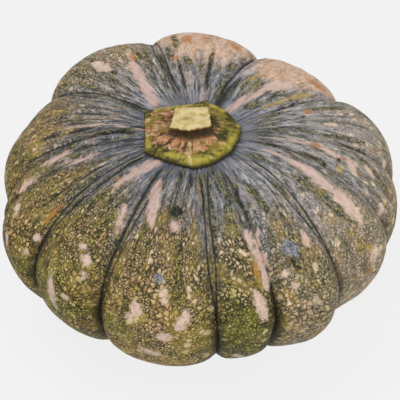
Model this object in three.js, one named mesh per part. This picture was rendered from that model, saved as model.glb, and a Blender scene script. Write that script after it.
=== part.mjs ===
// A kabocha squash as picked: the ribbed fruit and the short corky stalk cut above it.
// Millimetres, +Z up. Bearings are in degrees from the front (-Y) towards the right (+X).
import * as THREE from 'three';

// The fruit over the crest of a lobe, measured from the middle of its widest part
const RADIUS = 108;
const CROWN = 48;
const BELLY = 69;
const BELLY_POWER = 2.1;
const DIMPLE = { depth: 10, width: 36 };
const SCAR = { depth: 15, width: 30, button: 1.2, buttonRadius: 7 };
const FLAT = 1.2;
const LIFT = { height: 11, bearing: 178 };

// One row for each groove, and for the lobe that follows it:
// crown and rim: the groove's bearing beside the stalk and at the widest part
// depth: the groove below the lobes' crests
// cord: the low ridge along the groove's bed, between its two furrows
// reach: from the stalk's axis to the lobe's widest point
// lean: how much further the lobe's far half stands out than its near half
const GROOVES = [
  { crown: 1, rim: 5, depth: 7, cord: 1.4, reach: 111, lean: 0.01 },
  { crown: 22, rim: 21, depth: 6, cord: 0, reach: 114, lean: 0.03 },
  { crown: 50, rim: 41, depth: 6.5, cord: 1.2, reach: 111, lean: 0.04 },
  { crown: 81, rim: 67, depth: 5.5, cord: 0, reach: 112, lean: 0 },
  { crown: 89, rim: 90, depth: 4.5, cord: 0, reach: 114, lean: 0 },
  { crown: 110, rim: 126, depth: 10, cord: 0, reach: 109, lean: 0 },
  { crown: 164, rim: 157, depth: 12, cord: 0, reach: 124, lean: 0.06 },
  { crown: 203, rim: 194, depth: 6.5, cord: 1.2, reach: 127, lean: -0.02 },
  { crown: 239, rim: 235, depth: 10, cord: 1.2, reach: 113, lean: 0.02 },
  { crown: 262, rim: 279, depth: 6, cord: 0, reach: 110, lean: 0.02 },
  { crown: 285, rim: 286, depth: 1.5, cord: 0, reach: 116, lean: 0 },
  { crown: 299, rim: 308, depth: 6.5, cord: 1.2, reach: 114, lean: 0 },
  { crown: 330, rim: 332, depth: 9, cord: 1.4, reach: 116, lean: 0 },
];
const CORD_WIDTH = 1.6;
const BEND_END = 0.6;
const PLAIN_CROWN = 0.12;
const MERIDIAN_ROWS = 42;

// The stalk: its base on the crown, the skirt that rises from it and the cut face
const STALK = { x: -4, y: -2, cutHeight: 53, cutX: -5, cutY: -1.5, cutRise: 0.05 };
const GAP = 0.3;
// One row for each rib of the stalk: its bearing, how far it reaches at the base and at the
// cut face, and how far the side after it falls back from the line of the two ribs
const RIBS = [
  { bearing: -2, base: 27, cut: 10.8, fall: 1.8 },
  { bearing: 57, base: 25.5, cut: 12.4, fall: 1 },
  { bearing: 101, base: 27, cut: 11, fall: 2.6 },
  { bearing: 154, base: 29, cut: 12.4, fall: 4.5 },
  { bearing: 235, base: 31, cut: 12.2, fall: 3.5 },
  { bearing: 295, base: 29, cut: 13, fall: 4.6 },
];
const STALK_COLUMNS = 72;

const COLOURS = { skin: 0x6f745c, cork: 0x8c8340 };

const radians = THREE.MathUtils.degToRad;
const { clamp, lerp } = THREE.MathUtils;
const ease = (from, to, x) => THREE.MathUtils.smoothstep(x, from, to);

// Height of the crown at a distance from the stalk's axis, where it has no grooves yet
function crownHeight(rho) {
  const dimple = DIMPLE.depth * Math.exp(-((rho / DIMPLE.width) ** 2));
  return CROWN * Math.sqrt(1 - (rho / RADIUS) ** 2) - dimple;
}

// Height of the underside, with the hollow round the blossom scar and the button in its middle
function bellyHeight(rho) {
  const scar = SCAR.depth * Math.exp(-((rho / SCAR.width) ** 2));
  const button = SCAR.button * Math.exp(-((rho / SCAR.buttonRadius) ** 4));
  const fullness = Math.max(0, 1 - (rho / RADIUS) ** BELLY_POWER) ** (1 / BELLY_POWER);
  return scar - button - BELLY * fullness;
}

// The crest line as points { rho, z, normalRho, normalZ }, evenly spaced from the top to the bottom
function crestLine(rows) {
  const fine = [];
  const steps = 1200;
  for (let i = 0; i <= steps; i += 1) {
    const angle = (Math.PI * i) / steps;
    const isCrown = angle < Math.PI / 2;
    const rho = RADIUS * Math.sin(angle) ** (isCrown ? 1 : 2 / BELLY_POWER);
    fine.push(new THREE.Vector2(rho, isCrown ? crownHeight(rho) : bellyHeight(rho)));
  }
  const lengths = [0];
  for (let i = 1; i <= steps; i += 1) lengths.push(lengths[i - 1] + fine[i].distanceTo(fine[i - 1]));
  const line = [];
  let j = 0;
  for (let i = 0; i <= rows; i += 1) {
    const goal = (lengths[steps] * i) / rows;
    while (j < steps - 1 && lengths[j + 1] < goal) j += 1;
    const part = (goal - lengths[j]) / (lengths[j + 1] - lengths[j]);
    const along = fine[j + 1].clone().sub(fine[j]).normalize();
    const point = fine[j].clone().lerp(fine[j + 1], part);
    line.push({ rho: point.x, z: point.y, normalRho: -along.y, normalZ: along.x });
  }
  return line;
}

// A closed body from rings of equally many points, with a middle point at each end
function closedRings(first, rings, last) {
  const columns = rings[0].length;
  const points = [first, ...rings.flat(), last];
  const index = [];
  const at = (ring, column) => 1 + ring * columns + (column % columns);
  for (let column = 0; column < columns; column += 1) {
    index.push(0, at(0, column), at(0, column + 1));
    for (let ring = 0; ring < rings.length - 1; ring += 1) {
      const a = at(ring, column);
      const b = at(ring, column + 1);
      const c = at(ring + 1, column + 1);
      const d = at(ring + 1, column);
      index.push(a, d, c, a, c, b);
    }
    index.push(points.length - 1, at(rings.length - 1, column + 1), at(rings.length - 1, column));
  }
  const geometry = new THREE.BufferGeometry().setFromPoints(points);
  geometry.setIndex(index);
  geometry.computeVertexNormals();
  return geometry;
}

// Where the columns of a lobe stand, 0 at its groove and 1 at the next: close together at both
function lobeColumns(width) {
  const inner = Math.round(2 + width / 7);
  const middle = [];
  for (let i = 0; i < inner; i += 1) middle.push(0.17 + (0.66 * (i + 0.5)) / inner);
  return [0, 0.05, 0.12, ...middle, 0.88, 0.95];
}

function fruit() {
  const line = crestLine(MERIDIAN_ROWS);
  const lowest = Math.min(...line.map((point) => point.z)) + FLAT;
  const columns = [];
  GROOVES.forEach((groove, k) => {
    const next = GROOVES[(k + 1) % GROOVES.length];
    const before = GROOVES[(k + GROOVES.length - 1) % GROOVES.length];
    const width = (next.rim - groove.rim + 360) % 360;
    const crownWidth = (next.crown - groove.crown + 360) % 360;
    for (const across of lobeColumns(width)) {
      columns.push({ groove, next, before, width, crownWidth, across });
    }
  });
  const rings = line.slice(1, -1).map((point, row) => {
    const along = (row + 1) / MERIDIAN_ROWS;
    const bend = 1 - (1 - clamp(along / BEND_END, 0, 1)) ** 1.6;
    const grown = ease(PLAIN_CROWN, 0.4, along);
    const crownGroove = 0.15 * ease(PLAIN_CROWN, 0.2, along) + 0.85 * ease(PLAIN_CROWN, 0.45, along);
    const strength = crownGroove * (1 - ease(0.86, 1, along));
    return columns.map(({ groove, next, before, width, crownWidth, across }) => {
      const side = 2 * across - 1;
      const from = lerp(groove.crown, groove.rim, bend);
      const bearing = radians(from + across * lerp(crownWidth, width, bend));
      const neighbour = side < 0 ? before : next;
      const groundReach = (groove.reach + neighbour.reach) / 2;
      const reach = lerp(groove.reach, groundReach, side * side) / RADIUS;
      const lean = 1 + 2 * groove.lean * side * (1 - Math.abs(side));
      const spread = 1 + (reach * lean - 1) * grown;
      const dome = (1 - Math.abs(side) ** 2.2) ** 0.6;
      const fromBed = radians(width * (0.5 - Math.abs(across - 0.5))) * point.rho;
      const cord = (side < 0 ? groove.cord : next.cord) * Math.exp(-((fromBed / CORD_WIDTH) ** 2));
      const cut = strength * (lerp(groove.depth, next.depth, across) * (1 - dome) - cord);
      const rho = point.rho * spread - point.normalRho * cut;
      const backed = (0.5 + 0.5 * Math.cos(bearing - radians(LIFT.bearing))) ** 2;
      const lift = LIFT.height * backed * ease(PLAIN_CROWN, 0.4, along) * (1 - ease(0.45, 0.78, along));
      const z = Math.max(lowest, point.z - point.normalZ * cut + lift);
      return new THREE.Vector3(rho * Math.sin(bearing), -rho * Math.cos(bearing), z);
    });
  });
  const top = new THREE.Vector3(0, 0, line[0].z);
  const bottom = new THREE.Vector3(0, 0, line[MERIDIAN_ROWS].z);
  return closedRings(top, rings, bottom);
}

// How far the stalk reaches at a bearing, at its base or at its cut face
function stalkReach(bearing, key, share) {
  const turn = (((bearing - RIBS[0].bearing) % 360) + 360) % 360;
  let k = RIBS.length - 1;
  while (RIBS[k].bearing - RIBS[0].bearing > turn) k -= 1;
  const rib = RIBS[k];
  const next = RIBS[(k + 1) % RIBS.length];
  const width = (next.bearing - rib.bearing + 360) % 360;
  const across = (turn - (rib.bearing - RIBS[0].bearing)) / width;
  return lerp(rib[key], next[key], ease(0, 1, across)) - share * rib.fall * Math.sin(Math.PI * across);
}

function stalk() {
  // From the base's edge up: share of the way from the base's outline to the cut face's,
  // share of the height, and how far the outline is drawn in
  const skirt = [
    [0, 0, 0.5], [0, 0.07, 0], [0, 0.15, 0.5], [0.12, 0.24, 0], [0.32, 0.34, 0], [0.54, 0.45, 0],
    [0.76, 0.58, 0.2], [0.93, 0.7, 1], [1, 0.82, 1.6], [1, 0.91, 0.9], [1, 0.96, 0.1], [1, 1, 0.3],
  ];
  const bearings = Array.from({ length: STALK_COLUMNS }, (_, i) => (360 * i) / STALK_COLUMNS);
  const under = (x, y) => crownHeight(Math.hypot(x, y)) + GAP;
  const baseRing = (share) => bearings.map((bearing) => {
    const reach = share * (stalkReach(bearing, 'base', 1) - 1.4);
    const x = STALK.x + reach * Math.sin(radians(bearing));
    const y = STALK.y - reach * Math.cos(radians(bearing));
    return new THREE.Vector3(x, y, under(x, y));
  });
  const skirtRing = ([toCut, height, inset]) => bearings.map((bearing) => {
    const base = stalkReach(bearing, 'base', 1);
    const cut = stalkReach(bearing, 'cut', 0.3);
    const reach = lerp(base, cut, toCut) - inset;
    const x = lerp(STALK.x, STALK.cutX, height) + reach * Math.sin(radians(bearing));
    const y = lerp(STALK.y, STALK.cutY, height) - reach * Math.cos(radians(bearing));
    const foot = under(x, y) + 0.1;
    const level = STALK.cutHeight + STALK.cutRise * x;
    return new THREE.Vector3(x, y, lerp(foot, level, height));
  });
  const capRing = (share) => bearings.map((bearing) => {
    const reach = share * (stalkReach(bearing, 'cut', 0.3) - 0.3);
    const x = STALK.cutX + reach * Math.sin(radians(bearing));
    const y = STALK.cutY - reach * Math.cos(radians(bearing));
    return new THREE.Vector3(x, y, STALK.cutHeight + STALK.cutRise * x);
  });
  const rings = [capRing(0.5), ...skirt.toReversed().map(skirtRing), baseRing(1), baseRing(0.6), baseRing(0.3)];
  const top = new THREE.Vector3(STALK.cutX, STALK.cutY, STALK.cutHeight + STALK.cutRise * STALK.cutX);
  const bottom = new THREE.Vector3(STALK.x, STALK.y, under(STALK.x, STALK.y));
  return closedRings(top, rings, bottom);
}

const skin = new THREE.MeshStandardMaterial({ color: COLOURS.skin, roughness: 0.55, metalness: 0 });
const cork = new THREE.MeshStandardMaterial({ color: COLOURS.cork, roughness: 0.85, metalness: 0 });
const fruitMesh = new THREE.Mesh(fruit(), skin);
fruitMesh.name = 'fruit';
const stalkMesh = new THREE.Mesh(stalk(), cork);
stalkMesh.name = 'stalk';

const squash = new THREE.Group();
squash.add(fruitMesh, stalkMesh);

// The origin is the middle of the base
const box = new THREE.Box3().setFromObject(squash);
const middle = box.getCenter(new THREE.Vector3());
for (const mesh of squash.children) mesh.position.set(-middle.x, -middle.y, -box.min.z);

export default squash;
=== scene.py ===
"""A kabocha squash, as picked, on a pale studio floor: the ribbed fruit and its corky cut stalk."""
import math
from collections import namedtuple
from types import SimpleNamespace

import bpy
import numpy as np
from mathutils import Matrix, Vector


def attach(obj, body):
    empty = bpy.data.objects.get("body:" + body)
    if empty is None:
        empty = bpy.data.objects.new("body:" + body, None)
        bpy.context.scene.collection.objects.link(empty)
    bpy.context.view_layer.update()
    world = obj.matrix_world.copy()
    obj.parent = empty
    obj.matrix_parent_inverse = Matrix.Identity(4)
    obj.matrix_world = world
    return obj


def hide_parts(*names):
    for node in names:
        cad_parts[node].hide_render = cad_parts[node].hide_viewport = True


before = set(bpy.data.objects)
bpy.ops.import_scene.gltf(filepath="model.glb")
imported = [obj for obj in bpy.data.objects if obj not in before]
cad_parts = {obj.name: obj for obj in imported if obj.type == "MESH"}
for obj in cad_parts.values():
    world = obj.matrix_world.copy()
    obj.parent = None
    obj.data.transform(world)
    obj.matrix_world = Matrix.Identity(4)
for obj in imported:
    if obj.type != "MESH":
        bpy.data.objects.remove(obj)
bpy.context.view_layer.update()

# Lengths of the squash are in millimetres, and MM takes them to the scene's metres.
# Bearings are in degrees from the front (-Y) towards the right (+X), round the stalk's axis.
# "along" runs over the skin from 0 in the middle of the crown to 1 at the blossom scar.
MM = 0.001
AXIS = Vector((0.56, -6.17, 61.0))

# The fruit over the crest of a lobe, measured from the middle of its widest part
RADIUS = 108.0
CROWN = 48.0
BELLY = 69.0
BELLY_POWER = 2.1
DIMPLE_DEPTH, DIMPLE_WIDTH = 10.0, 36.0
SCAR_DEPTH, SCAR_WIDTH = 15.0, 30.0
BUTTON, BUTTON_RADIUS = 1.2, 7.0
LIFT, LIFT_BEARING = 11.0, 178.0
CORD_WIDTH = 1.6
BEND_END = 0.6
PLAIN_CROWN = 0.12

# A groove's bearing beside the stalk and at the widest part, its depth and the low ridge along
# its bed, and of the lobe after it the reach, the lean to its far half, and how much its skin
# has of each finish: where the bloom ends, ochre, peach, green and grey
Groove = namedtuple("Groove", "crown rim depth cord reach lean bloom ochre peach green grey")
GROOVES = [
    Groove(1, 5, 7.0, 1.4, 111, 0.01, 0.31, 0.15, 0.05, 1.2, 0.30),
    Groove(22, 21, 6.0, 0.0, 114, 0.03, 0.34, 0.10, 0.10, 0.5, 0.6),
    Groove(50, 41, 6.5, 1.2, 111, 0.04, 0.42, 0.05, 0.10, 0.4, 0.7),
    Groove(81, 67, 5.5, 0.0, 112, 0.00, 0.46, 0.15, 0.10, 0.4, 0.75),
    Groove(89, 90, 4.5, 0.0, 114, 0.00, 0.50, 0.05, 0.10, 0.35, 0.8),
    Groove(110, 126, 10.0, 0.0, 109, 0.00, 0.28, 0.05, 1.00, 0.1, 0.5),
    Groove(164, 157, 12.0, 0.0, 124, 0.06, 0.30, 0.20, 0.85, 0.1, 0.5),
    Groove(203, 194, 6.5, 1.2, 127, -0.02, 0.36, 0.35, 0.15, 0.3, 0.6),
    Groove(239, 235, 10.0, 1.2, 113, 0.02, 0.38, 0.80, 0.05, 0.4, 0.3),
    Groove(262, 279, 6.0, 0.0, 110, 0.02, 0.31, 0.50, 0.00, 0.5, 0.1),
    Groove(285, 286, 1.5, 0.0, 116, 0.00, 0.28, 0.55, 0.05, 0.6, 0.1),
    Groove(299, 308, 6.5, 1.2, 114, 0.00, 0.28, 0.50, 0.10, 0.6, 0.05),
    Groove(330, 332, 9.0, 1.4, 116, 0.00, 0.29, 0.50, 0.10, 0.25, 0.2),
]
FRUIT_COLUMNS = 468
FRUIT_ROWS = 200

# What is finer than the lobes: the furrows beside the cords, the line of the cords themselves,
# the grooves' beds with their painted shade, and the radius that the skin's pattern is laid out on
FURROW_WIDTH = 0.6
CORD_LINE = 0.6
PLAIN_FURROW_WIDTH = 0.9
VALLEY_DEPTH, VALLEY_WIDTH = 1.4, 2.2
BED_SHADE_WIDTH = 3.4
PATTERN_RADIUS = 105.0

# A rib of the stalk's foot: its bearing, how far it reaches, and how far the side after it falls
# back from the line of the two ribs
Rib = namedtuple("Rib", "bearing reach fall")
RIBS = [
    Rib(1, 29.0, 0.2),
    Rib(54, 25.4, 0.6),
    Rib(99, 26.5, 0.8),
    Rib(166, 28.6, 4.5),
    Rib(236, 31.6, 4.6),
    Rib(303, 30.0, 2.4),
]
# Corners of the cut face: bearing and reach
CUT_CORNERS = [(-6, 10.6), (57, 13.4), (134, 13.8), (220, 13.4), (303, 13.6)]
STALK_BASE = Vector((-4.0, -2.0))
STALK_CUT = Vector((-5.0, -1.5, 53.0))
CUT_RISE = 0.05
GAP = 0.3
STALK_COLUMNS = 240
STALK_ROWS = 110
RIB_WIDTH = 5.0
FIBRE_RADIUS, FIBRE_LENGTH = 20.0, 22.0

# Streaks and blobs on the skin: bearing and place along at both ends, and the width in mm
Mark = namedtuple("Mark", "bearing along to_bearing to_along width")
MARK_EDGE = 4.0
DASH_EDGE = 3.0
PALE_MARKS = [
    Mark(321, 0.12, 316, 0.22, 6.0),
    Mark(334, 0.175, 340.5, 0.255, 7.0),
    Mark(327, 0.25, 329, 0.29, 4.0),
    Mark(325, 0.355, 325, 0.37, 6.5),
    Mark(322, 0.34, 322, 0.35, 4.5),
    Mark(326, 0.385, 327, 0.395, 4.0),
    Mark(306, 0.38, 306, 0.395, 4.0),
    Mark(305, 0.42, 305, 0.43, 4.0),
    Mark(323, 0.44, 323, 0.45, 5.0),
    Mark(317, 0.42, 320, 0.49, 5.5),
    Mark(290, 0.385, 294, 0.39, 4.5),
    Mark(295, 0.43, 298, 0.45, 4.0),
    Mark(282.5, 0.27, 282.5, 0.33, 4.0),
    Mark(287, 0.215, 287, 0.27, 4.0),
    Mark(285, 0.34, 285, 0.385, 3.2),
    Mark(258, 0.40, 261, 0.41, 4.5),
    Mark(267, 0.28, 268, 0.18, 2.4),
    Mark(268, 0.18, 279, 0.11, 2.0),
    Mark(219.5, 0.28, 219.5, 0.33, 8.0),
    Mark(208, 0.27, 212, 0.20, 7.0),
    Mark(212, 0.20, 221, 0.135, 8.0),
    Mark(205, 0.32, 208, 0.27, 4.5),
    Mark(144, 0.095, 140, 0.20, 4.0),
    Mark(140, 0.20, 135, 0.26, 7.0),
    Mark(79, 0.19, 81, 0.23, 3.6),
    Mark(80, 0.24, 75, 0.285, 6.0),
    Mark(78, 0.30, 73, 0.32, 6.0),
    Mark(59, 0.14, 58, 0.21, 3.0),
    Mark(58, 0.21, 57, 0.30, 7.0),
    Mark(57, 0.30, 56, 0.365, 8.0),
    Mark(56, 0.43, 54, 0.455, 6.5),
    Mark(17.5, 0.275, 18.8, 0.31, 4.5),
    Mark(22, 0.28, 19.5, 0.31, 3.6),
    Mark(19, 0.31, 20, 0.35, 6.5),
    Mark(20, 0.35, 19, 0.385, 5.5),
    Mark(16, 0.39, 17, 0.44, 6.5),
    Mark(25, 0.365, 25, 0.375, 4.5),
    Mark(26.5, 0.39, 27, 0.40, 4.0),
    Mark(31, 0.425, 31, 0.44, 4.5),
    Mark(35.5, 0.31, 35, 0.335, 4.5),
    Mark(350, 0.365, 352, 0.39, 5.0),
    Mark(357, 0.405, 355, 0.437, 6.5),
    Mark(350, 0.456, 353, 0.454, 6.0),
    Mark(343, 0.40, 344.5, 0.42, 7.5),
    Mark(341.5, 0.43, 343, 0.425, 5.5),
    Mark(346, 0.50, 350, 0.508, 6.0),
    Mark(350, 0.247, 352, 0.262, 5.0),
    Mark(93, 0.40, 88, 0.415, 4.5),
    Mark(80, 0.34, 77, 0.36, 4.5),
    Mark(70, 0.40, 68, 0.415, 4.5),
    Mark(173, 0.07, 172, 0.14, 2.2),
    Mark(182, 0.15, 182, 0.20, 2.2),
    Mark(120, 0.44, 124, 0.47, 6.0),
    Mark(200, 0.45, 203, 0.50, 7.0),
    Mark(228, 0.44, 226, 0.49, 6.0),
    Mark(248, 0.50, 250, 0.55, 6.0),
    Mark(148, 0.52, 150, 0.57, 6.0),
    Mark(273, 0.55, 275, 0.58, 5.0),
    Mark(10, 0.55, 12, 0.58, 5.0),
    Mark(60, 0.57, 62, 0.61, 6.0),
    Mark(300, 0.56, 301, 0.60, 6.0),
    Mark(335, 0.60, 338, 0.62, 6.0),
    Mark(180, 0.62, 184, 0.66, 7.0),
    Mark(100, 0.60, 103, 0.63, 6.0),
]
ORANGE_MARKS = [
    Mark(80, 0.226, 79.5, 0.242, 7.0),
    Mark(53, 0.465, 53, 0.48, 5.0),
    Mark(314, 0.205, 314, 0.215, 2.6),
    Mark(113, 0.228, 113, 0.242, 6.5),
    Mark(78, 0.288, 77, 0.30, 3.0),
    Mark(182.5, 0.31, 182.5, 0.34, 7.0),
    Mark(187.5, 0.25, 188, 0.26, 5.0),
    Mark(175, 0.315, 174.5, 0.34, 6.0),
    Mark(165, 0.325, 163, 0.34, 9.0),
    Mark(134, 0.33, 130, 0.36, 7.0),
    Mark(205, 0.30, 207, 0.275, 5.0),
    Mark(305, 0.31, 305, 0.365, 2.6),
    Mark(18, 0.325, 17.2, 0.36, 2.6),
]
YELLOW_MARKS = [
    Mark(70, 0.285, 70.5, 0.297, 5.0),
    Mark(17.4, 0.335, 17.6, 0.385, 3.4),
    Mark(130, 0.153, 129, 0.231, 2.6),
    Mark(129, 0.231, 128.5, 0.293, 3.4),
    Mark(150, 0.20, 147, 0.24, 3.0),
]
DARK_MARKS = [
    Mark(350.3, 0.217, 350.3, 0.234, 8.0),
    Mark(344.5, 0.125, 349, 0.155, 2.4),
    Mark(355, 0.13, 356, 0.165, 2.6),
    Mark(171.5, 0.30, 170, 0.15, 3.0),
    Mark(218.5, 0.335, 219, 0.345, 4.0),
    Mark(218.5, 0.26, 219, 0.275, 4.0),
    Mark(28.3, 0.345, 29, 0.368, 3.2),
    Mark(76, 0.283, 73, 0.284, 3.4),
    Mark(348, 0.36, 349, 0.365, 3.5),
    Mark(155, 0.09, 153, 0.20, 4.5),
    Mark(203, 0.30, 203, 0.27, 4.0),
    Mark(122, 0.16, 127, 0.24, 2.0),
    Mark(98, 0.15, 97, 0.22, 2.4),
    Mark(187, 0.24, 186, 0.15, 2.6),
]
DASH_MARKS = [
    Mark(112, 0.12, 110, 0.18, 3.0),
    Mark(105, 0.10, 103, 0.165, 3.0),
    Mark(93, 0.10, 90, 0.155, 3.0),
    Mark(84, 0.11, 82, 0.17, 2.8),
    Mark(75, 0.11, 73, 0.165, 2.8),
    Mark(66, 0.12, 66, 0.17, 2.4),
    Mark(344, 0.11, 346, 0.17, 2.4),
    Mark(12, 0.11, 13, 0.18, 2.4),
    Mark(137, 0.128, 136, 0.16, 4.0),
    Mark(119, 0.143, 117.5, 0.203, 2.6),
    Mark(115, 0.243, 114, 0.321, 4.0),
    Mark(113, 0.358, 110, 0.40, 5.0),
    Mark(99, 0.088, 98, 0.14, 2.6),
    Mark(98, 0.14, 92, 0.178, 4.0),
    Mark(97, 0.19, 93, 0.228, 3.0),
    Mark(93, 0.256, 95, 0.336, 4.0),
    Mark(86.5, 0.185, 84, 0.23, 2.0),
    Mark(84, 0.23, 91, 0.338, 2.0),
    Mark(91, 0.338, 85.5, 0.38, 2.4),
    Mark(47, 0.103, 50, 0.158, 3.6),
    Mark(65, 0.183, 69, 0.243, 3.6),
    Mark(69, 0.243, 68, 0.262, 4.0),
    Mark(85, 0.311, 78, 0.378, 4.0),
    Mark(78, 0.378, 75, 0.411, 4.0),
    Mark(51, 0.226, 52, 0.318, 4.5),
    Mark(52, 0.318, 54.5, 0.363, 5.5),
    Mark(40, 0.201, 40, 0.236, 3.6),
    Mark(28, 0.188, 28.5, 0.248, 4.0),
    Mark(203, 0.226, 199, 0.298, 3.6),
    Mark(186.5, 0.296, 187, 0.356, 4.5),
    Mark(190, 0.256, 190, 0.30, 5.0),
    Mark(181, 0.226, 184, 0.253, 4.5),
    Mark(194, 0.216, 194, 0.291, 3.6),
    Mark(159.5, 0.263, 161, 0.228, 5.0),
    Mark(158, 0.118, 158, 0.18, 4.5),
]
WAX_MARKS = [
    Mark(29, 0.315, 30, 0.34, 8.0),
    Mark(348, 0.345, 349, 0.355, 7.0),
]

# The camera looks down on the front at the photograph's angle
CAMERA_HEIGHT_ANGLE = 42.0
CAMERA_DISTANCE = 600.0
CAMERA_LENS = 94.0
CAMERA_AIM_BELOW = 6.3
SENSOR_WIDTH = 36.0
FLOOR_SIZE = 8.0


def ease(start, end, x):
    """A smooth step from 0 at start to 1 at end."""
    t = np.clip((x - start) / (end - start), 0.0, 1.0)
    return t * t * (3.0 - 2.0 * t)


def blend(a, b, share):
    return a + (b - a) * share


# Shape of the fruit

def crown_height(rho):
    """Height of the crown at a distance from the stalk's axis, where it has no grooves yet."""
    dimple = DIMPLE_DEPTH * np.exp(-((rho / DIMPLE_WIDTH) ** 2))
    return CROWN * np.sqrt(1.0 - (rho / RADIUS) ** 2) - dimple


def belly_height(rho):
    """Height of the underside, with its hollow and the button of the blossom scar."""
    scar = SCAR_DEPTH * np.exp(-((rho / SCAR_WIDTH) ** 2))
    button = BUTTON * np.exp(-((rho / BUTTON_RADIUS) ** 4))
    fullness = np.maximum(0.0, 1.0 - (rho / RADIUS) ** BELLY_POWER) ** (1.0 / BELLY_POWER)
    return scar - button - BELLY * fullness


def crest_line():
    """Distance from the axis and height of a lobe's crest at many even steps, and its length."""
    angle = np.linspace(0.0, math.pi, 4001)
    on_crown = angle < math.pi / 2
    sine = np.clip(np.sin(angle), 0.0, 1.0)
    rho = RADIUS * sine ** np.where(on_crown, 1.0, 2.0 / BELLY_POWER)
    height = np.where(on_crown, crown_height(rho), belly_height(rho))
    walked = np.concatenate([[0.0], np.cumsum(np.hypot(np.diff(rho), np.diff(height)))])
    along = np.linspace(0.0, 1.0, 2001)
    rho_at = np.interp(along * walked[-1], walked, rho)
    height_at = np.interp(along * walked[-1], walked, height)
    return along, rho_at, height_at, walked[-1]


CREST_ALONG, CREST_RHO, CREST_HEIGHT, CREST_LENGTH = crest_line()


def fruit_columns():
    """For each column: its lobe, and its place across that lobe, closer together at grooves."""
    widths = [(GROOVES[(k + 1) % len(GROOVES)].rim - g.rim) % 360 for k, g in enumerate(GROOVES)]
    shares = np.cumsum([0] + [w + 12 for w in widths])
    edges = np.round(FRUIT_COLUMNS * shares / shares[-1]).astype(int)
    lobe, across = [], []
    for k in range(len(GROOVES)):
        step = np.arange(edges[k + 1] - edges[k]) / (edges[k + 1] - edges[k])
        lobe += [k] * len(step)
        across += list(step - 0.11 * np.sin(2 * math.pi * step))
    return np.array(lobe), np.array(across)


def fruit_rows():
    """Place along the meridian of each row, with most rows where the skin shows."""
    return np.interp(np.arange(FRUIT_ROWS + 1) / FRUIT_ROWS, [0, 0.05, 0.80, 1], [0, 0.08, 0.63, 1])


def ripple(bearing, counts, seed):
    """Uneven waves round the fruit, from about -1 to 1, that close on themselves."""
    random = np.random.default_rng(seed)
    total = 0.0
    for count in counts:
        height = random.uniform(0.6, 1.0)
        phase = random.uniform(0, 6.3)
        total = total + height * np.cos(np.radians(bearing) * count + phase)
    return total / (0.8 * len(counts)) ** 0.5 / 1.4


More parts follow.
